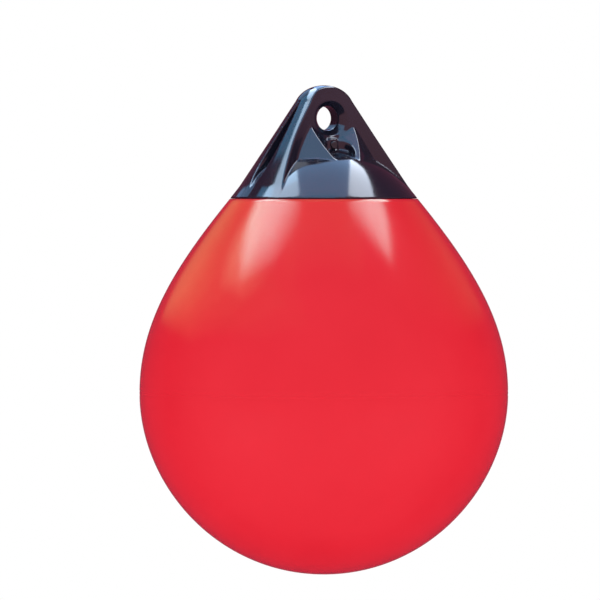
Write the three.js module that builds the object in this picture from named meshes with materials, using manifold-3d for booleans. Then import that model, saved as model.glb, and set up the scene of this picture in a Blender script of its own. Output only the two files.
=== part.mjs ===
// Ball fender: an inflated vinyl ball hung from a moulded rope cap, with a screw plug in the cap's valve.
// Millimetres, +Z up. The origin is the middle of the rope eye, and the eye's bore runs along Y.
import * as THREE from "three";
import { ConvexGeometry } from "three/addons/geometries/ConvexGeometry.js";
import { mergeVertices } from "three/addons/utils/BufferGeometryUtils.js";
import Module from "manifold-3d";

const wasm = await Module();
wasm.setup();

// Heights, measured down from the middle of the eye
const SEAM_DROP = 93.7; // where the cap ends and the ball begins
const EQUATOR_DROP = 320; // the ball's widest level
const BOTTOM_DROP = 532; // the ball's lowest point

// The ball, an egg-shaped body of revolution
const BALL_RADIUS = 215;
const SEAM_RADIUS = 109.6;
const SEAM_SLOPE = THREE.MathUtils.degToRad(39); // the skin's lean from the vertical at the seam
const SHOULDER_PULL = 104; // how long each end of the outline's curves holds its direction
const UPPER_SIDE_PULL = 81;
const LOWER_SIDE_PULL = 109;
const BASE_PULL = 123;

// The cap's dome and the neck of the ball beneath it
const DOME_DROP = 34.5; // the dome's top, inside the cap's ribs
const DOME_TOP_PULL = 50;
const DOME_RIM_PULL = 40;
const SKIRT_WALL = 7; // the dome's wall, and the width of the cap's lower lip
const LIP_ROUND = 1.6; // the rounded outer edge of that lip

// The ear with the eye
const EAR_RADIUS = 38.7;
const EAR_THICKNESS = 36;
const EAR_EDGE = 8; // the rounded edge between the ear's faces and its rim
const EYE_RADIUS = 14.25;
const EYE_STRAIGHT = 16.8; // the straight middle of the eye's bore
const EYE_MOUTH_SLOPE = THREE.MathUtils.degToRad(33); // how fast each mouth starts to open
const EYE_MOUTH_ROUND = 2.5; // how far each mouth then rounds over onto the ear's face

// The side ribs, which widen from the ear down to the seam
const CONE_SLOPE = THREE.MathUtils.degToRad(33.4); // the ribs' outer edge, from the vertical
const RIB_SPREAD = THREE.MathUtils.degToRad(28); // half the angle between a side's two ribs, from above
const GROOVE_TOP_RISE = 21; // the spear-shaped groove between two ribs starts above the eye's middle
const GROOVE_WIDEST_DROP = 50;
const GROOVE_TIP_DROP = 82;
const GROOVE_WIDTH = 19;
const GROOVE_DEPTH = 13;

// The sloping fins that run from the ear's faces down to the dome
const FIN_START_HALF_GAP = 28.9; // where the ridge leaves the ear's face
const FIN_START_DROP = 7.1;
const FIN_END_HALF_GAP = 17; // where the ridge meets the dome
const FIN_REACH = 36.7; // how far the ridge runs out from the ear's face
const FIN_FALL = 40.4; // how far it comes down on the way
const FIN_BOW = 2.4; // how far the ridge bows sideways at its middle
const FIN_FOOT_SPREAD = 17.1; // how far the outer face widens on the ear, over the ridge's fall
const FIN_MEET_DROP = 29; // where the two inner faces would meet on the ear
const WELL_RADIUS = 17; // the round well between the fins, in front of the valve
const WELL_GAP = 2; // from the ear's face to the well
const FIN_SINK = 10; // how far the ridge goes on down into the dome

// The valve block under the eye and its screw plug
const BLOCK_WIDTH = 11.6;
const BLOCK_DEPTH = 5; // how far it stands out from the ear's face
const BLOCK_DROP = 23.4; // its flat top
const PLUG_DROP = 31;
const PLUG_HEAD_RADIUS = 4.3;
const PLUG_HEAD_HEIGHT = 1.6;
const PLUG_SHANK_RADIUS = 3;
const PLUG_SHANK_LENGTH = 9;
const PLUG_SLOT_WIDTH = 1.1;
const PLUG_SLOT_DEPTH = 0.8;

// Clearances and steps
const GAP = 0.3; // between pieces that touch
const PAST = 3; // how far a cutter runs past what it cuts
const ROUND_STEPS = 60;
const CURVE_STEPS = 16;
const ARC_STEPS = 6;
const LIP_STEPS = 3;

const up = (x, drop) => new THREE.Vector2(x, -drop);

// A closed three.js geometry as a solid.
function solid(geometry) {
  const bare = geometry.clone();
  bare.deleteAttribute("normal");
  bare.deleteAttribute("uv");
  const merged = mergeVertices(bare, 1e-4);
  return new wasm.Manifold(
    new wasm.Mesh({
      numProp: 3,
      vertProperties: new Float32Array(merged.attributes.position.array),
      triVerts: new Uint32Array(merged.index.array),
    }),
  );
}

// A solid as a named mesh.
function piece(name, body, material) {
  const data = body.getMesh();
  const geometry = new THREE.BufferGeometry();
  geometry.setAttribute("position", new THREE.BufferAttribute(data.vertProperties, 3));
  geometry.setIndex(new THREE.BufferAttribute(data.triVerts, 1));
  geometry.computeVertexNormals();
  const mesh = new THREE.Mesh(geometry, material);
  mesh.name = name;
  return mesh;
}

// A body of revolution about Z, from an outline that runs from its lowest point on the axis to its highest.
function turned(outline, steps = ROUND_STEPS) {
  return solid(new THREE.LatheGeometry(outline, steps).rotateX(Math.PI / 2));
}

// A body of revolution about Y, from an outline that runs from the rear point on the axis to the front.
function turnedAlongY(outline, steps) {
  return solid(new THREE.LatheGeometry(outline, steps));
}

// A box given by its lowest and highest corners.
function block(low, high) {
  const size = new THREE.Vector3().subVectors(high, low);
  const middle = new THREE.Vector3().addVectors(low, high).multiplyScalar(0.5);
  return solid(new THREE.BoxGeometry(size.x, size.y, size.z).translate(...middle.toArray()));
}

// The dome's outline from its rim up to its top on the axis.
function domeOutline(rimRadius, rimDrop, topDrop) {
  const inward = DOME_RIM_PULL * Math.sin(SEAM_SLOPE);
  const upward = DOME_RIM_PULL * Math.cos(SEAM_SLOPE);
  const curve = new THREE.CubicBezierCurve(
    up(rimRadius, rimDrop),
    up(rimRadius - inward, rimDrop - upward),
    up(DOME_TOP_PULL, topDrop),
    up(0, topDrop),
  );
  return curve.getPoints(CURVE_STEPS);
}

// The ball with its neck: one sealed, air-filled body, shown as a solid.
function ball() {
  const lower = new THREE.CubicBezierCurve(
    up(0, BOTTOM_DROP),
    up(BASE_PULL, BOTTOM_DROP),
    up(BALL_RADIUS, EQUATOR_DROP + LOWER_SIDE_PULL),
    up(BALL_RADIUS, EQUATOR_DROP),
  );
  const seamDrop = SEAM_DROP + GAP / 2;
  const shoulderOut = SHOULDER_PULL * Math.sin(SEAM_SLOPE);
  const shoulderDown = SHOULDER_PULL * Math.cos(SEAM_SLOPE);
  const upper = new THREE.CubicBezierCurve(
    up(BALL_RADIUS, EQUATOR_DROP),
    up(BALL_RADIUS, EQUATOR_DROP - UPPER_SIDE_PULL),
    up(SEAM_RADIUS + shoulderOut, seamDrop + shoulderDown),
    up(SEAM_RADIUS, seamDrop),
  );
  const neck = domeOutline(SEAM_RADIUS - SKIRT_WALL - GAP, seamDrop, DOME_DROP + SKIRT_WALL + GAP);
  return turned([
    ...lower.getPoints(CURVE_STEPS),
    ...upper.getPoints(CURVE_STEPS).slice(1),
    ...neck,
  ]);
}

// The cap's dome as a full solid, down to its lip.
function dome() {
  const lipDrop = SEAM_DROP - GAP / 2;
  const lip = new THREE.EllipseCurve(
    SEAM_RADIUS - LIP_ROUND,
    LIP_ROUND - lipDrop,
    LIP_ROUND,
    LIP_ROUND,
    -Math.PI / 2,
    0,
  );
  const outline = domeOutline(SEAM_RADIUS, lipDrop - LIP_ROUND, DOME_DROP);
  return turned([up(0, lipDrop), ...lip.getPoints(LIP_STEPS), ...outline.slice(1)]);
}

// The ear: a plate with a round top, straight flanks that spread down to the dome, and rounded edges.
function ear() {
  const footDrop = SEAM_DROP - LIP_ROUND - PAST;
  const foot = EAR_RADIUS / Math.cos(CONE_SLOPE) + footDrop * Math.tan(CONE_SLOPE);
  const face = new THREE.Shape();
  face.moveTo(-foot, -footDrop);
  face.lineTo(foot, -footDrop);
  face.absarc(0, 0, EAR_RADIUS, CONE_SLOPE, Math.PI - CONE_SLOPE, false);
  const plate = new THREE.ExtrudeGeometry(face, {
    depth: EAR_THICKNESS - 2 * EAR_EDGE,
    bevelThickness: EAR_EDGE,
    bevelSize: EAR_EDGE,
    bevelOffset: -EAR_EDGE,
    bevelSegments: ARC_STEPS,
    curveSegments: ROUND_STEPS / 2,
  });
  plate.translate(0, 0, EAR_EDGE - EAR_THICKNESS / 2);
  return solid(plate.rotateX(Math.PI / 2));
}

// The side ribs: a round-topped cone, cut in plan to a bar that widens towards both sides.
function ribs() {
  const coneTop = EAR_RADIUS / Math.cos(CONE_SLOPE);
  const coneFoot = coneTop + SEAM_DROP * Math.tan(CONE_SLOPE);
  const head = new THREE.EllipseCurve(0, 0, EAR_RADIUS, EAR_RADIUS, CONE_SLOPE, Math.PI / 2);
  const footDrop = SEAM_DROP - LIP_ROUND - PAST;
  const footRadius = coneFoot - (LIP_ROUND + PAST) * Math.tan(CONE_SLOPE);
  const cone = turned([up(0, footDrop), up(footRadius, footDrop), ...head.getPoints(2 * ARC_STEPS)]);

  const half = EAR_THICKNESS / 2;
  const knee = half / Math.tan(RIB_SPREAD);
  const far = coneFoot + PAST;
  const farHalf = far * Math.tan(RIB_SPREAD);
  const plan = new THREE.Shape([
    new THREE.Vector2(-far, -farHalf),
    new THREE.Vector2(-knee, -half),
    new THREE.Vector2(knee, -half),
    new THREE.Vector2(far, -farHalf),
    new THREE.Vector2(far, farHalf),
    new THREE.Vector2(knee, half),
    new THREE.Vector2(-knee, half),
    new THREE.Vector2(-far, farHalf),
  ]);
  const height = EAR_RADIUS + SEAM_DROP;
  const bar = new THREE.ExtrudeGeometry(plan, { depth: height + PAST, bevelEnabled: false });
  bar.translate(0, 0, -SEAM_DROP);
  return cone.intersect(solid(bar));
}

// The spear-shaped groove between the two ribs of one side, as a cutter. side is 1 for +X and -1 for -X.
function grooveCutter(side) {
  const along = (drop) => drop / Math.cos(CONE_SLOPE);
  const half = GROOVE_WIDTH / 2;
  const top = -along(-GROOVE_TOP_RISE);
  const widest = -along(GROOVE_WIDEST_DROP);
  const tip = -along(GROOVE_TIP_DROP);
  const shoulder = (top + widest) / 2;
  const spear = new THREE.Shape();
  spear.moveTo(0, tip);
  spear.quadraticCurveTo(half, (tip + widest) / 2, half, widest);
  spear.quadraticCurveTo(half, shoulder, 0, top);
  spear.quadraticCurveTo(-half, shoulder, -half, widest);
  spear.quadraticCurveTo(-half, (tip + widest) / 2, 0, tip);
  const cutter = new THREE.ExtrudeGeometry(spear, {
    depth: GROOVE_DEPTH + PAST,
    bevelEnabled: false,
    curveSegments: ARC_STEPS,
  });
  // The outline's plane is turned to lie on the rib's outer slope, with the depth running inwards.
  cutter.translate(0, 0, -GROOVE_DEPTH);
  cutter.rotateX(Math.PI / 2);
  cutter.rotateZ(Math.PI / 2);
  cutter.rotateY(-CONE_SLOPE);
  cutter.translate(EAR_RADIUS / Math.cos(CONE_SLOPE), 0, 0);
  if (side < 0) cutter.rotateZ(Math.PI);
  return solid(cutter);
}

// The two sloping fins of one face, with the round well between them. front is -1 for -Y and 1 for +Y.
function finPair(front) {
  const face = EAR_THICKNESS / 2;
  const narrowing = FIN_START_HALF_GAP - FIN_END_HALF_GAP;
  const bow = (share) => 4 * FIN_BOW * share * (1 - share);
  const onRidge = (share) =>
    new THREE.Vector3(
      FIN_START_HALF_GAP - narrowing * share + bow(share),
      face + FIN_REACH * share,
      -FIN_START_DROP - FIN_FALL * share,
    );
  const floorShare = 1 + FIN_SINK / FIN_FALL;
  const floorDrop = FIN_START_DROP + FIN_FALL * floorShare;
  const root = face - PAST;
  const innerDrop = FIN_MEET_DROP - FIN_START_DROP;
  const innerReach = (FIN_START_HALF_GAP * (floorDrop - FIN_START_DROP)) / innerDrop;
  const start = onRidge(0);
  const end = onRidge(1).lerp(start, 1 - floorShare);
  const fin = [
    start,
    new THREE.Vector3(start.x, root, start.z),
    onRidge(1 / 3),
    onRidge(2 / 3),
    onRidge(1),
    new THREE.Vector3(end.x, end.y, -floorDrop),
    new THREE.Vector3(start.x + FIN_FOOT_SPREAD * floorShare, root, -floorDrop),
    new THREE.Vector3(start.x - innerReach, root, -floorDrop),
  ];
  const place = (sign) => fin.map((point) => new THREE.Vector3(sign * point.x, front * point.y, point.z));
  const fins = solid(new ConvexGeometry(place(1))).add(solid(new ConvexGeometry(place(-1))));
  const well = new THREE.CylinderGeometry(WELL_RADIUS, WELL_RADIUS, 2 * floorDrop, ROUND_STEPS / 2);
  well.rotateX(Math.PI / 2);
  well.translate(0, front * (face + WELL_GAP + WELL_RADIUS), 0);
  return fins.subtract(solid(well));
}

// The block under the eye. The front one carries the valve.
function valveBlock(front) {
  const face = EAR_THICKNESS / 2;
  const near = front * (face - PAST);
  const far = front * (face + BLOCK_DEPTH);
  return block(
    new THREE.Vector3(-BLOCK_WIDTH / 2, Math.min(near, far), -DOME_DROP - SKIRT_WALL / 2),
    new THREE.Vector3(BLOCK_WIDTH / 2, Math.max(near, far), -BLOCK_DROP),
  );
}

// The rope eye as a cutter: a straight bore with a flared, rounded mouth on each face.
function eyeCutter() {
  const face = EAR_THICKNESS / 2;
  const straight = EYE_STRAIGHT / 2;
  const flared = EYE_RADIUS + (face - straight) * Math.tan(EYE_MOUTH_SLOPE);
  const mouth = new THREE.QuadraticBezierCurve(
    new THREE.Vector2(EYE_RADIUS, straight),
    new THREE.Vector2(flared, face),
    new THREE.Vector2(flared + EYE_MOUTH_ROUND, face),
  );
  const half = mouth.getPoints(ARC_STEPS);
  half.push(new THREE.Vector2(flared + EYE_MOUTH_ROUND, face + PAST));
  half.push(new THREE.Vector2(0, face + PAST));
  const mirrored = half.map((point) => new THREE.Vector2(point.x, -point.y)).reverse();
  return turnedAlongY([...mirrored, ...half], ROUND_STEPS);
}

// The hollow under the cap, which the ball's neck fills.
function neckCutter() {
  const outline = domeOutline(SEAM_RADIUS - SKIRT_WALL, SEAM_DROP, DOME_DROP + SKIRT_WALL);
  return turned([up(0, SEAM_DROP + PAST), up(SEAM_RADIUS - SKIRT_WALL, SEAM_DROP + PAST), ...outline]);
}

// A bore along Y for the plug's shank, open at the front of the block.
function plugBore() {
  const open = EAR_THICKNESS / 2 + BLOCK_DEPTH;
  const depth = PLUG_SHANK_LENGTH + GAP;
  const bore = new THREE.CylinderGeometry(
    PLUG_SHANK_RADIUS + GAP,
    PLUG_SHANK_RADIUS + GAP,
    depth + PAST,
    ROUND_STEPS / 2,
  );
  bore.translate(0, -open + (depth - PAST) / 2, -PLUG_DROP);
  return solid(bore);
}

// The screw plug: a slotted head on a plain shank.
function valvePlug() {
  const seat = -(EAR_THICKNESS / 2 + BLOCK_DEPTH + GAP);
  const front = seat - PLUG_HEAD_HEIGHT;
  const edge = PLUG_HEAD_HEIGHT / 3;
  const plug = turnedAlongY(
    [
      new THREE.Vector2(0, front),
      new THREE.Vector2(PLUG_HEAD_RADIUS - edge, front),
      new THREE.Vector2(PLUG_HEAD_RADIUS, front + edge),
      new THREE.Vector2(PLUG_HEAD_RADIUS, seat),
      new THREE.Vector2(PLUG_SHANK_RADIUS, seat),
      new THREE.Vector2(PLUG_SHANK_RADIUS, seat + GAP + PLUG_SHANK_LENGTH),
      new THREE.Vector2(0, seat + GAP + PLUG_SHANK_LENGTH),
    ],
    ROUND_STEPS / 2,
  );
  const slot = block(
    new THREE.Vector3(-PLUG_HEAD_RADIUS - PAST, front - PAST, -PLUG_SLOT_WIDTH / 2),
    new THREE.Vector3(PLUG_HEAD_RADIUS + PAST, front + PLUG_SLOT_DEPTH, PLUG_SLOT_WIDTH / 2),
  );
  return plug.subtract(slot).translate([0, 0, -PLUG_DROP]);
}

function cap() {
  return ear()
    .add(ribs())
    .subtract(grooveCutter(1))
    .subtract(grooveCutter(-1))
    .add(finPair(-1))
    .add(finPair(1))
    .add(valveBlock(-1))
    .add(valveBlock(1))
    .add(dome())
    .subtract(eyeCutter())
    .subtract(neckCutter())
    .subtract(plugBore());
}

const redVinyl = new THREE.MeshStandardMaterial({ color: 0xe72c39, roughness: 0.25, metalness: 0 });
const navyVinyl = new THREE.MeshStandardMaterial({ color: 0x141726, roughness: 0.2, metalness: 0 });
const plugPlastic = new THREE.MeshStandardMaterial({ color: 0x1c1e28, roughness: 0.45, metalness: 0 });

const fender = new THREE.Group();
fender.add(piece("float_ball", ball(), redVinyl));
fender.add(piece("rope_cap", cap(), navyVinyl));
fender.add(piece("valve_plug", valvePlug(), plugPlastic));

export default fender;
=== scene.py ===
import math

import bmesh
import bpy
import numpy as np
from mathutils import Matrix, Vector, geometry


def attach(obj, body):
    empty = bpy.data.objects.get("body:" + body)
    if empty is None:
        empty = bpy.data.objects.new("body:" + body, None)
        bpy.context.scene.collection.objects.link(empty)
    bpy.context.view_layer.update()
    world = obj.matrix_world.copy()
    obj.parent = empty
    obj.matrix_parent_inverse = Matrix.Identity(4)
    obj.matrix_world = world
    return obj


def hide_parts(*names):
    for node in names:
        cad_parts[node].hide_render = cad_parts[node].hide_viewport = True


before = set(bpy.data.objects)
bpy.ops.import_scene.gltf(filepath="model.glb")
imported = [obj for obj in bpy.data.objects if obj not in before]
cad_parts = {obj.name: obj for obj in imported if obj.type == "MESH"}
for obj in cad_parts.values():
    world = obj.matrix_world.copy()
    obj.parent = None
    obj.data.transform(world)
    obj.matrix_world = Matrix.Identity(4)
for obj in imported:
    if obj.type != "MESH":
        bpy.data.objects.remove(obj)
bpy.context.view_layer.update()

MM = 0.001

# The fender's sizes, as drops below the middle of the rope eye and as radii
SEAM_DROP, SEAM_RADIUS = 93.7, 109.6
SEAM_SLOPE = math.radians(39)
EQUATOR_DROP, BALL_RADIUS = 320.0, 215.0
BOTTOM_DROP = 532.0
SHOULDER_PULL, UPPER_SIDE_PULL = 104.0, 81.0
LOWER_SIDE_PULL, BASE_PULL = 109.0, 123.0
DOME_DROP, DOME_TOP_PULL, DOME_RIM_PULL = 34.5, 50.0, 40.0
SKIRT_WALL, LIP_ROUND = 7.0, 1.6
EAR_RADIUS, EAR_HALF = 38.4, 18.0
EAR_TOP_HALF, EAR_FULL_HEIGHT, EAR_CROWN = 13.0, 12.0, 0.75
EYE_RADIUS, EYE_STRAIGHT_HALF = 14.25, 8.4
EYE_MOUTH_SLOPE, EYE_MOUTH_ROUND = math.radians(37), 2.0
CONE_SLOPE = math.radians(33.4)
RIB_SPREAD, RIB_FOOT_SPREAD = math.radians(26.3), math.radians(5.2)
RIB_FOOT_DROP = SEAM_DROP - 10.0
GROOVE_TOP_RISE, GROOVE_WIDEST_DROP, GROOVE_TIP_DROP = 21.0, 50.0, 82.0
GROOVE_HALF, GROOVE_DEPTH = 9.5, 13.0
FIN_START = (28.9, EAR_HALF, -7.1)
FIN_END = (17.0, EAR_HALF + 36.7, -47.5)
FIN_FOOT = (50.8, 27.0, -48.6)
FIN_MEET = (0.0, EAR_HALF, -29.0)
FIN_BOW, FIN_MIDDLE_ROUND = 2.4, 0.8
WELL_RADIUS, WELL_MIDDLE = 17.0, EAR_HALF + 19.0
BLOCK_HALF, BLOCK_FACE, BLOCK_DROP = 5.8, EAR_HALF + 5.0, 23.4
PLUG_DROP, PLUG_BORE, PLUG_BORE_END = 31.0, 3.3, 13.7
GAP = 0.3

# Rounded edges and hollow corners of the moulding
EAR_EDGE, GROOVE_EDGE, GROOVE_FLOOR = 2.0, 1.2, 4.0
RIDGE_EDGE, WELL_EDGE, BLOCK_EDGE = 1.3, 1.6, 1.0
KNEE_CORNER, FIN_CORNER, BLOCK_CORNER, DOME_CORNER = 10.0, 2.0, 1.4, 1.5

# How finely the outlines and meshes are made, and how points are drawn onto the cap's skin
DOME_ROWS = 300
BALL_ROUND, OUTLINE_STEPS, NECK_STEPS = 288, 72, 16
CAP_VOXELS = (2.2, 1.36)
PARTING_HEIGHT, PARTING_WIDTH, PARTING_STEPS = 0.22, 0.9, 19
SLOPE_REACH, LEAST_SLOPE, LONGEST_MOVE = 0.05, 0.05, 1.0

# The photograph's view: the ball's width in it, and where the axis and the eye stand
VIEW_AZIMUTH = math.radians(-30)
FRAME_PIXELS, BALL_PIXELS = 600, 368.7
MM_A_PIXEL = 2 * BALL_RADIUS / BALL_PIXELS
AXIS_COLUMN, EYE_ROW = 323.8, 118.3
CAMERA_DISTANCE, CAMERA_HEIGHT = 10.0, -0.05
SENSOR_WIDTH, CAMERA_REACH = 36.0, 100.0

# The finishes' colours, each from its darker to its lighter patches
BALL_REDS = (0.74, 0.012, 0.026, 1), (0.82, 0.019, 0.036, 1)
CAP_NAVIES = (0.0065, 0.0075, 0.017, 1), (0.012, 0.013, 0.026, 1)
PLUG_GREYS = (0.010, 0.011, 0.018, 1), (0.020, 0.022, 0.032, 1)
FLOOR_GREYS = (0.80, 0.80, 0.80, 1), (0.84, 0.84, 0.84, 1)

# The room: metres, and the light that it sends to the object's colours and to its gloss
FLOOR_RADIUS, FLOOR_DROP = 2.5, 0.8
WHITE, WORLD_LEVEL = (1, 1, 1, 1), 0.94
ROOM_IN_FRONT, ROOM_BEHIND = (1.0, 0.45, 0.55, 1), (0.17, 0.045, 0.08, 1)
ROOM_TURN, ROOM_AT_SIDES = 1.1, 0.45
FLOOR_LAMP_SIZE, FLOOR_LAMP_POWER = 1.5, 17
SIDE_LAMP_SIZE, SIDE_LAMP_POWER, SIDE_LAMP_AIM = 1.5, 3, 0.35

# Ceiling panels: metres up, and a soft one's sheets with the step between them
CEILING, SOFT_SHEETS, SHEET_STEP = 2.40, 5, 0.01
COOL, PALE, WARM = (0.42, 0.78, 1.35), (0.40, 1.0, 0.95), (0.70, 1.0, 0.35)


# Shader maths

class Value:
    """One socket of a node tree, with the arithmetic that adds Math nodes."""

    def __init__(self, tree, socket):
        self.tree, self.socket = tree, socket

    def math(self, operation, *others, clamp=False):
        node = self.tree.nodes.new("ShaderNodeMath")
        node.operation, node.use_clamp = operation, clamp
        for slot, item in zip(node.inputs, (self, *others)):
            feed(self.tree, slot, item)
        return Value(self.tree, node.outputs[0])

    def __add__(self, other):
        return self.math("ADD", other)

    __radd__ = __add__

    def __mul__(self, other):
        return self.math("MULTIPLY", other)

    __rmul__ = __mul__

    def __sub__(self, other):
        return self.math("SUBTRACT", other)

    def __rsub__(self, other):
        return (self * -1.0) + other


def feed(tree, socket, item):
    """Links a value to a socket, or sets the socket's own number or colour."""
    if isinstance(item, Value):
        tree.links.new(item.socket, socket)
    else:
        socket.default_value = item


class Shader:
    """A node tree being built."""

    def __init__(self, tree):
        self.tree = tree
        tree.nodes.clear()

    def node(self, kind, settings=None, output=0, sockets=None, **named):
        """Adds a node: its settings first, then its sockets by number and by name."""
        made = self.tree.nodes.new("ShaderNode" + kind)
        for name, setting in (settings or {}).items():
            setattr(made, name, setting)
        for number, item in (sockets or {}).items():
            feed(self.tree, made.inputs[number], item)
        for name, item in named.items():
            feed(self.tree, made.inputs[name.replace("_", " ")], item)
        return Value(self.tree, made.outputs[output])

    def mix(self, factor, first, second):
        return self.node("Mix", {"data_type": "RGBA"}, 2, {0: factor, 6: first, 7: second})

    def finish(self, surface, kind="OutputMaterial"):
        out = self.tree.nodes.new("ShaderNode" + kind)
        self.tree.links.new(surface.socket, out.inputs["Surface"])


def material(name):
    made = bpy.data.materials.new(name)
    made.use_nodes = True
    return made, Shader(made.node_tree)


def noise(shader, place, scale, detail=2.0, roughness=0.5):
    return shader.node("TexNoise", Vector=place, Scale=scale, Detail=detail, Roughness=roughness)


def place_on_object(shader):
    return shader.node("TexCoord", output="Object")


def ball_vinyl():
    """Glossy red vinyl: almost even, with a faint cloudiness and a very fine orange peel."""
    made, shader = material("ball_vinyl")
    place = place_on_object(shader)
    cloud = noise(shader, place, 9.0, detail=3.0)
    speckle = noise(shader, place, 900.0, detail=1.0)
    colour = shader.mix(cloud, *BALL_REDS)
    peel = noise(shader, place, 260.0, detail=1.0) * 0.6 + noise(shader, place, 40.0) * 0.4
    bump = shader.node("Bump", Height=peel, Strength=0.035, Distance=0.0006)
    rough = cloud * 0.04 + speckle * 0.03 + 0.10
    shader.finish(shader.node("BsdfPrincipled", Base_Color=colour, Roughness=rough, IOR=1.38, Normal=bump))
    return made


def cap_vinyl():
    """Glossy, very dark navy vinyl with a slight flow pattern from the mould."""
    made, shader = material("cap_vinyl")
    place = place_on_object(shader)
    flow = noise(shader, place, 22.0, detail=3.0)
    speckle = noise(shader, place, 1200.0, detail=1.0)
    colour = shader.mix(flow, *CAP_NAVIES)
    peel = noise(shader, place, 420.0, detail=1.0) * 0.5 + noise(shader, place, 60.0) * 0.5
    bump = shader.node("Bump", Height=peel, Strength=0.05, Distance=0.0006)
    rough = flow * 0.04 + speckle * 0.03 + 0.07
    shader.finish(shader.node("BsdfPrincipled", Base_Color=colour, Roughness=rough, IOR=1.5, Normal=bump))
    return made


def plug_plastic():
    """Harder moulded plastic with a fine grain."""
    made, shader = material("plug_plastic")
    place = place_on_object(shader)
    grain = noise(shader, place, 1500.0, detail=1.0)
    wear = noise(shader, place, 160.0, detail=2.0)
    colour = shader.mix(wear, *PLUG_GREYS)
    bump = shader.node("Bump", Height=grain, Strength=0.12, Distance=0.0002)
    rough = wear * 0.12 + 0.32
    shader.finish(shader.node("BsdfPrincipled", Base_Color=colour, Roughness=rough, IOR=1.5, Normal=bump))
    return made


# Shapes

def dome_outline(rim_radius, rim_drop, top_drop, steps):
    """The dome's outline from its rim up to its top on the axis, as (radius, height) rows."""
    pull = DOME_RIM_PULL
    knots = (
        (rim_radius, -rim_drop),
        (rim_radius - pull * math.sin(SEAM_SLOPE), pull * math.cos(SEAM_SLOPE) - rim_drop),
        (DOME_TOP_PULL, -top_drop),
        (0.0, -top_drop),
    )
    return curve(knots, steps)


def curve(knots, steps):
    """A cubic curve through the first and last knot, drawn by the two between."""
    rows = geometry.interpolate_bezier(*(Vector((*knot, 0.0)) for knot in knots), steps)
    return [(row.x, row.y) for row in rows]


def ball_outline():
    """The ball's outline from its lowest point, past the seam, to the top of its neck."""
    lower = curve((
        (0.0, -BOTTOM_DROP),
        (BASE_PULL, -BOTTOM_DROP),
        (BALL_RADIUS, -EQUATOR_DROP - LOWER_SIDE_PULL),
        (BALL_RADIUS, -EQUATOR_DROP),
    ), OUTLINE_STEPS)
    seam = SEAM_DROP + GAP / 2
    out, down = SHOULDER_PULL * math.sin(SEAM_SLOPE), SHOULDER_PULL * math.cos(SEAM_SLOPE)
    upper = curve((
        (BALL_RADIUS, -EQUATOR_DROP),
        (BALL_RADIUS, UPPER_SIDE_PULL - EQUATOR_DROP),
        (SEAM_RADIUS + out, -seam - down),
        (SEAM_RADIUS, -seam),
    ), OUTLINE_STEPS)
    return lower[:-1] + parting_line() + upper[1:] + neck_outline()


def parting_line():
    """The faint ridge that the mould's halves leave round the widest level."""
    reach = 3 * PARTING_WIDTH
    heights = np.linspace(-reach, reach, PARTING_STEPS)
    rise = PARTING_HEIGHT * np.exp(-(heights / PARTING_WIDTH) ** 2) - PARTING_HEIGHT
    return [(BALL_RADIUS + out, height - EQUATOR_DROP) for out, height in zip(rise, heights)]


def neck_outline():
    """The neck that the cap sits on, clear of it by the gap."""
    rim, top = SEAM_RADIUS - SKIRT_WALL - GAP, DOME_DROP + SKIRT_WALL + GAP
    return dome_outline(rim, SEAM_DROP + GAP / 2, top, NECK_STEPS)


def turned(name, outline, steps):
    """A body of revolution about Z from (radius, height) rows."""
    bm = bmesh.new()
    points = [bm.verts.new((radius * MM, 0.0, height * MM)) for radius, height in outline]
    edges = [bm.edges.new(pair) for pair in zip(points, points[1:])]
    bmesh.ops.spin(
        bm, geom=points + edges, cent=(0, 0, 0), axis=(0, 0, 1), dvec=(0, 0, 0),
        angle=2 * math.pi, steps=steps, use_merge=True, use_duplicate=False,
    )
    bmesh.ops.remove_doubles(bm, verts=bm.verts, dist=1e-6)
    bmesh.ops.recalc_face_normals(bm, faces=bm.faces)
    return as_object(name, bm)


def as_object(name, bm):
    mesh = bpy.data.meshes.new(name)
    bm.to_mesh(mesh)
    bm.free()
    mesh.shade_smooth()
    made = bpy.data.objects.new(name, mesh)
    bpy.context.scene.collection.objects.link(made)
    return made


# The cap as a field: the distance from its skin, negative inside, with rounded joins

def join(a, b, corner):
    """What either holds, with a hollow corner of that radius where they meet."""
    reach = np.hypot(np.maximum(corner - a, 0), np.maximum(corner - b, 0))
    return np.maximum(corner, np.minimum(a, b)) - reach


def both(a, b, edge):
    """What both hold, with an outer edge of that radius where they cross."""
    reach = np.hypot(np.maximum(edge + a, 0), np.maximum(edge + b, 0))
    return np.minimum(-edge, np.maximum(a, b)) + reach


def under_dome(radius, z, rim_radius, rim_drop, top_drop):
    """The distance over a dome, which is measured square to its outline."""
    rows = np.array(dome_outline(rim_radius, rim_drop, top_drop, DOME_ROWS)[::-1])
    slope = np.gradient(rows[:, 1], rows[:, 0] + np.arange(len(rows)) * 1e-9)
    height = np.interp(radius, rows[:, 0], rows[:, 1])
    steep = np.interp(radius, rows[:, 0], slope)
    beyond = np.maximum(radius - rows[-1, 0], 0)
    return (z - height - beyond * slope[-1]) / np.hypot(1, steep)


def plane(p, q, s, outward):
    """The height of a point over the plane through three points, on the outward side."""
    p, q, s = (np.array(v) for v in (p, q, s))
    normal = np.cross(q - p, s - p)
    normal = normal / np.linalg.norm(normal) * np.sign(np.cross(q - p, s - p) @ np.array(outward))
    return lambda x, y, z: normal[0] * (x - p[0]) + normal[1] * (y - p[1]) + normal[2] * (z - p[2])


FIN_OUTER = plane(FIN_START, FIN_END, FIN_FOOT, (1, 1, 0))
FIN_INNER = plane(FIN_START, FIN_END, FIN_MEET, (-1, 1, 1))


def round_topped(across, z):
    """The distance to a round head with straight flanks that spread downwards."""
    sin, cos = math.sin(CONE_SLOPE), math.cos(CONE_SLOPE)
    on_head = across * sin < z * cos
    return np.where(on_head, np.hypot(across, z), across * cos + z * sin) - EAR_RADIUS


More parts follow.
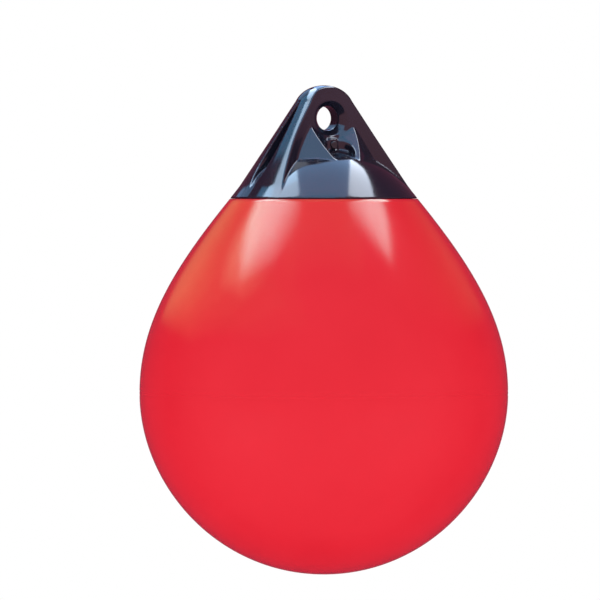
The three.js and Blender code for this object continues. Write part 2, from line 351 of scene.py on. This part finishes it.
def ear_and_ribs(x, y, z):
    """The ear, thinner towards its crown, and the ribs that widen from it down to the seam."""
    rise = np.clip((z - EAR_FULL_HEIGHT) / (EAR_RADIUS - EAR_FULL_HEIGHT), 0, 1)
    face = y - EAR_HALF + (EAR_HALF - EAR_TOP_HALF) * rise ** 1.5
    spread = RIB_SPREAD + RIB_FOOT_SPREAD * np.clip(-z / RIB_FOOT_DROP, 0, 1) ** 2
    wedge = y * np.cos(spread) - x * np.sin(spread)
    crown = 1 - (1 - EAR_CROWN) * np.clip(2 * z / EAR_RADIUS - 1, 0, 1)
    return both(round_topped(np.hypot(x, crown * y), z), join(face, wedge, KNEE_CORNER), EAR_EDGE)


def groove(x, y, z):
    """The spear-shaped groove between the two ribs of a side."""
    sin, cos = math.sin(CONE_SLOPE), math.cos(CONE_SLOPE)
    depth = EAR_RADIUS - (x * cos + z * sin)
    along = x * sin - z * cos - EAR_RADIUS * math.tan(CONE_SLOPE)
    top, widest, tip = (drop / cos for drop in (-GROOVE_TOP_RISE, GROOVE_WIDEST_DROP, GROOVE_TIP_DROP))
    share = np.where(along > widest, (tip - along) / (tip - widest), (along - top) / (widest - top))
    half = GROOVE_HALF * (1 - (1 - np.minimum(share, 1)) ** 2)
    return both(y - half, depth - GROOVE_DEPTH, GROOVE_FLOOR)


def fins(x, y, z):
    """A bowed fin on each side of the block, with the round well between them."""
    share = np.clip((y - EAR_HALF) / (FIN_END[1] - EAR_HALF), 0, 1)
    bowed = np.hypot(x, FIN_MIDDLE_ROUND) - 4 * FIN_BOW * share * (1 - share)
    fin = both(FIN_OUTER(bowed, y, z), FIN_INNER(bowed, y, z), RIDGE_EDGE)
    well = np.hypot(x, y - WELL_MIDDLE) - WELL_RADIUS
    return np.maximum(both(fin, -well, WELL_EDGE), EAR_HALF / 2 - y)


def valve_block(x, y, z):
    sides = both(x - BLOCK_HALF, y - BLOCK_FACE, BLOCK_EDGE)
    return both(sides, z + BLOCK_DROP, BLOCK_EDGE)


def eye(radius, y):
    """The rope eye: a straight bore whose mouths flare out to the ear's faces."""
    sin, cos = math.sin(EYE_MOUTH_SLOPE), math.cos(EYE_MOUTH_SLOPE)
    flare = (radius - EYE_RADIUS) * cos - (np.minimum(y, EAR_HALF) - EYE_STRAIGHT_HALF) * sin
    return np.minimum(radius - EYE_RADIUS, flare)


def cap_field(points):
    """The whole cap: both faces and both sides are alike, but for the plug's bore."""
    x, z = np.abs(points[:, 0]), points[:, 2]
    y, radius = np.abs(points[:, 1]), np.hypot(points[:, 0], points[:, 1])
    skin = both(ear_and_ribs(x, y, z), -groove(x, y, z), GROOVE_EDGE)
    skin = join(skin, fins(x, y, z), FIN_CORNER)
    skin = join(skin, valve_block(x, y, z), BLOCK_CORNER)
    skin = join(skin, under_dome(radius, z, SEAM_RADIUS, SEAM_DROP - GAP / 2, DOME_DROP), DOME_CORNER)
    skin = both(skin, GAP / 2 - SEAM_DROP - z, LIP_ROUND)
    skin = both(skin, -eye(np.hypot(x, z), y), EYE_MOUTH_ROUND)
    hollow = under_dome(radius, z, SEAM_RADIUS - SKIRT_WALL, SEAM_DROP, DOME_DROP + SKIRT_WALL)
    bore = np.maximum(np.hypot(x, z + PLUG_DROP) - PLUG_BORE, PLUG_BORE_END + points[:, 1])
    return np.maximum(skin, np.maximum(-hollow, -bore))


def settle(points, field, rounds):
    """Moves points onto the field's zero surface along its slope."""
    for _ in range(rounds):
        here = field(points)
        slope = np.stack([
            (field(points + step) - field(points - step)) / (2 * SLOPE_REACH)
            for step in np.eye(3) * SLOPE_REACH
        ], axis=1)
        size = np.maximum((slope ** 2).sum(1), LEAST_SLOPE)
        points = points - slope * np.clip(here / size, -LONGEST_MOVE, LONGEST_MOVE)[:, None]
    return points


def relax(points, edges, rounds):
    """Evens out the spacing of the points: each moves half way to its neighbours' middle."""
    count = np.bincount(edges.ravel(), minlength=len(points))[:, None]
    for _ in range(rounds):
        total = np.zeros_like(points)
        np.add.at(total, edges[:, 0], points[edges[:, 1]])
        np.add.at(total, edges[:, 1], points[edges[:, 0]])
        points = points + 0.5 * (total / count - points)
    return points


def rope_cap():
    """The cap: its solid remeshed into an even net, then drawn onto the field's smooth skin."""
    bm = bmesh.new()
    bm.from_mesh(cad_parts["rope_cap"].data)
    bmesh.ops.remove_doubles(bm, verts=bm.verts, dist=1e-6)
    made = as_object("rope_cap_moulding", bm)
    made.data.materials.clear()
    for voxel in CAP_VOXELS:
        made.data = even_net(made, voxel)
        draw_onto(made.data, cap_field)
    made.data.shade_smooth()
    return made


def even_net(piece, voxel):
    """The piece's skin as a net of even quads."""
    remesh = piece.modifiers.new("even_net", "REMESH")
    remesh.mode, remesh.voxel_size = "VOXEL", voxel * MM
    bpy.context.view_layer.update()
    net = bpy.data.meshes.new_from_object(piece.evaluated_get(bpy.context.evaluated_depsgraph_get()))
    piece.modifiers.clear()
    return net


def draw_onto(net, field):
    """Draws a net's corners onto the field's skin, evenly spread."""
    points = np.empty(len(net.vertices) * 3)
    net.vertices.foreach_get("co", points)
    points = points.reshape(-1, 3) / MM
    edges = np.empty(len(net.edges) * 2, int)
    net.edges.foreach_get("vertices", edges)
    edges = edges.reshape(-1, 2)
    for _ in range(3):
        points = settle(relax(points, edges, 2), field, 3)
    points = settle(points, field, 4)
    net.vertices.foreach_set("co", (points * MM).ravel())
    net.update()


def dress(piece, finish, node):
    """Gives a piece its finish and puts it in the place of a solid."""
    piece.data.materials.clear()
    piece.data.materials.append(finish)
    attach(piece, "root")
    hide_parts(node)


# Studio

def across(right, towards, height):
    """A point given as metres to the picture's right, towards the camera, and up."""
    sin, cos = math.sin(VIEW_AZIMUTH), math.cos(VIEW_AZIMUTH)
    return Vector((right * cos + towards * sin, right * sin - towards * cos, height))


def camera():
    """A long lens at the photograph's angle, with its frame set by where the eye stands in it."""
    width = FRAME_PIXELS * MM_A_PIXEL * MM
    data = bpy.data.cameras.new("camera")
    data.sensor_width = SENSOR_WIDTH
    data.lens = SENSOR_WIDTH * CAMERA_DISTANCE / width
    data.clip_end = CAMERA_REACH
    made = bpy.data.objects.new("camera", data)
    half = FRAME_PIXELS / 2
    aside = (half - AXIS_COLUMN) * MM_A_PIXEL * MM
    middle = (EYE_ROW - half) * MM_A_PIXEL * MM
    made.location = across(aside, CAMERA_DISTANCE, CAMERA_HEIGHT)
    aim = across(aside, 0.0, middle) - made.location
    made.rotation_euler = aim.to_track_quat("-Z", "Y").to_euler()
    bpy.context.scene.collection.objects.link(made)
    bpy.context.scene.camera = made


def panel(name, receivers, height, corners, colour, strength):
    """A lit ceiling panel, which shows only in the gloss of the pieces it is flagged for.
    Its corners are metres right and towards the camera for each metre of height."""
    bm = bmesh.new()
    rise = height + SEAM_DROP * MM
    spots = [bm.verts.new(across(right * rise, towards * rise, height)) for right, towards in corners]
    bm.faces.new(spots)
    bmesh.ops.recalc_face_normals(bm, faces=bm.faces)
    made = as_object(name, bm)
    finish, shader = material(name)
    glow = shader.node("Emission", Color=(*colour, 1.0), Strength=strength)
    shader.finish(shader.node("AddShader", sockets={0: glow, 1: shader.node("BsdfTransparent")}))
    made.data.materials.append(finish)
    made.visible_camera = made.visible_diffuse = made.visible_shadow = False
    made.light_linking.receiver_collection = receivers


def spread(corners, share):
    """The same outline, drawn in or out about its middle."""
    middle = [sum(axis) / len(corners) for axis in zip(*corners)]
    return [[at + (corner - at) * share for corner, at in zip(pair, middle)] for pair in corners]


def soft_panel(name, receivers, height, corners, colour, strength, softness):
    """A stack of sheets, each a little larger than the one below it, for a soft-edged light."""
    for sheet in range(SOFT_SHEETS):
        grown = spread(corners, 1 + softness * (sheet / (SOFT_SHEETS - 1) - 0.5))
        level = height + SHEET_STEP * sheet
        panel(f"{name}_{sheet}", receivers, level, grown, colour, strength / SOFT_SHEETS)


def panels_for_cap(cap):
    right = ((0.33, 0.13), (0.79, 0.15), (0.47, -0.76), (0.29, -1.05))
    left = (
        (-0.33, 0.13), (-0.80, 0.35), (-0.96, 0.0), (-0.90, -0.30),
        (-0.60, -0.85), (-0.45, -1.5), (-0.29, -1.5),
    )
    middle = ((-0.33, 0.2), (0.33, 0.2), (0.3, -2.8), (-0.3, -2.8))
    front = ((-0.9, 1.1), (0.33, 1.1), (0.33, 0.2), (-0.9, 0.2))
    back = ((-0.45, -1.5), (-0.60, -0.85), (-1.3, -1.1), (-1.3, -2.8), (-0.45, -2.8))
    side = ((-0.93, 0.0), (-1.14, -0.38), (-0.91, -0.76), (-0.38, -0.38), (-0.38, 0.05))
    panel("right_panel_on_cap", cap, CEILING, right, (0.82, 0.93, 1.1), 9.5)
    panel("left_panel_on_cap", cap, CEILING, left, (0.70, 0.95, 1.25), 8.0)
    panel("middle_panel", cap, CEILING + 0.04, middle, COOL, 2.4)
    panel("front_panel", cap, CEILING + 0.06, front, (0.15, 0.78, 1.35), 2.2)
    panel("back_panel", cap, CEILING + 0.10, back, (0.30, 0.80, 1.35), 0.8)
    panel("side_panel", cap, 0.30, side, (0.20, 0.80, 1.40), 1.5)


def panels_for_ball(ball):
    right = ((0.33, 0.17), (0.78, 0.15), (0.79, -0.45), (0.47, -0.9), (0.29, -1.05))
    left = (
        (-0.36, 0.16), (-0.62, 0.24), (-0.98, 0.08), (-0.93, -0.3),
        (-0.88, -0.6), (-0.47, -0.9), (-0.29, -1.05),
    )
    between = ((-0.33, 0.35), (0.33, 0.35), (0.33, -0.6), (-0.33, -0.6))
    beside = ((-0.80, 0.30), (-1.10, 0.28), (-1.25, -0.15), (-1.05, -0.5), (-0.80, -0.4))
    far_left = ((-0.80, 0.45), (-1.45, 0.45), (-2.6, -0.7), (-2.5, -3.4), (-1.0, -2.2))
    far_right = ((1.05, 0.0), (1.6, 0.0), (2.6, -1.2), (2.5, -3.4), (1.1, -2.0))
    soft_panel("right_panel_on_ball", ball, CEILING + 0.02, right, PALE, 9.5, 0.2)
    soft_panel("left_panel_on_ball", ball, CEILING + 0.08, left, PALE, 9.5, 0.4)
    soft_panel("beside_panel", ball, CEILING + 0.14, beside, (0.55, 1.0, 0.55), 2.2, 0.8)
    soft_panel("warm_panel", ball, CEILING + 0.20, far_left, WARM, 1.05, 1.2)
    soft_panel("right_warm_panel", ball, CEILING + 0.26, far_right, WARM, 0.25, 1.0)
    soft_panel("between_panel", ball, CEILING + 0.32, between, (0.0, 1.0, 0.4), 1.04, 0.9)


def flagged(name, *pieces):
    """The pieces that a light is let onto."""
    made = bpy.data.collections.new(name)
    for piece in pieces:
        made.objects.link(piece)
    return made


def lamp(name, place, aim, size, power, receivers=None):
    data = bpy.data.lights.new(name, "AREA")
    data.shape, data.size, data.energy = "DISK", size, power
    made = bpy.data.objects.new(name, data)
    made.location = place
    made.rotation_euler = (aim - place).to_track_quat("-Z", "Y").to_euler()
    made.visible_glossy = False
    made.light_linking.receiver_collection = receivers
    bpy.context.scene.collection.objects.link(made)


def lamps(floor):
    """A pair that lights the floor, for its bounce, and a pair low at the ball's sides."""
    under, ball = Vector((0, 0, -FLOOR_DROP)), Vector((0, 0, -SIDE_LAMP_AIM))
    for side, turn in (("left", -1), ("right", 1)):
        by_floor, by_ball = across(1.4 * turn, 1.2, 0.0), across(2.5 * turn, 0.6, -0.1)
        lamp(side + "_floor_lamp", by_floor, under, FLOOR_LAMP_SIZE, FLOOR_LAMP_POWER, floor)
        lamp(side + "_lamp", by_ball, ball, SIDE_LAMP_SIZE, SIDE_LAMP_POWER)


def studio():
    """The white backdrop, the room that the gloss shows, and the floor."""
    world = bpy.data.worlds.new("studio")
    world.use_nodes = True
    bpy.context.scene.world = world
    shader = Shader(world.node_tree)
    seen = shader.node("LightPath", output="Is Camera Ray")
    glossy = shader.node("LightPath", output="Is Glossy Ray")
    ends = {0: shader.node("TexCoord", output="Generated"), 1: across(0, 1, 0)}
    front = shader.node("VectorMath", {"operation": "DOT_PRODUCT"}, "Value", ends)
    share = front.math("MULTIPLY_ADD", ROOM_TURN, ROOM_AT_SIDES, clamp=True)
    room = shader.mix(share, ROOM_BEHIND, ROOM_IN_FRONT)
    colour = shader.mix(glossy, WHITE, room)
    strength = seen + (1 - seen) * (glossy + (1 - glossy) * WORLD_LEVEL)
    shader.finish(shader.node("Background", Color=colour, Strength=strength), "OutputWorld")

    bm = bmesh.new()
    bmesh.ops.create_circle(bm, cap_ends=True, segments=96, radius=FLOOR_RADIUS)
    bmesh.ops.translate(bm, verts=bm.verts, vec=(0, 0, -FLOOR_DROP))
    floor = as_object("floor", bm)
    finish, shader = material("floor_paint")
    place = place_on_object(shader)
    shade = shader.mix(noise(shader, place, 3.0), *FLOOR_GREYS)
    shader.finish(shader.node("BsdfPrincipled", Base_Color=shade, Roughness=0.8))
    floor.data.materials.append(finish)
    floor.visible_glossy = False
    return floor


float_ball = turned("float_ball_skin", ball_outline(), BALL_ROUND)
dress(float_ball, ball_vinyl(), "float_ball")
moulding = rope_cap()
dress(moulding, cap_vinyl(), "rope_cap")
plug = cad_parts["valve_plug"]
plug.data.materials.clear()
plug.data.materials.append(plug_plastic())

camera()
floor = studio()
panels_for_cap(flagged("panels_reach_cap", moulding, plug))
panels_for_ball(flagged("panels_reach_ball", float_ball))
lamps(flagged("lamps_reach_floor", floor))

bpy.context.scene.view_settings.view_transform = "Standard"
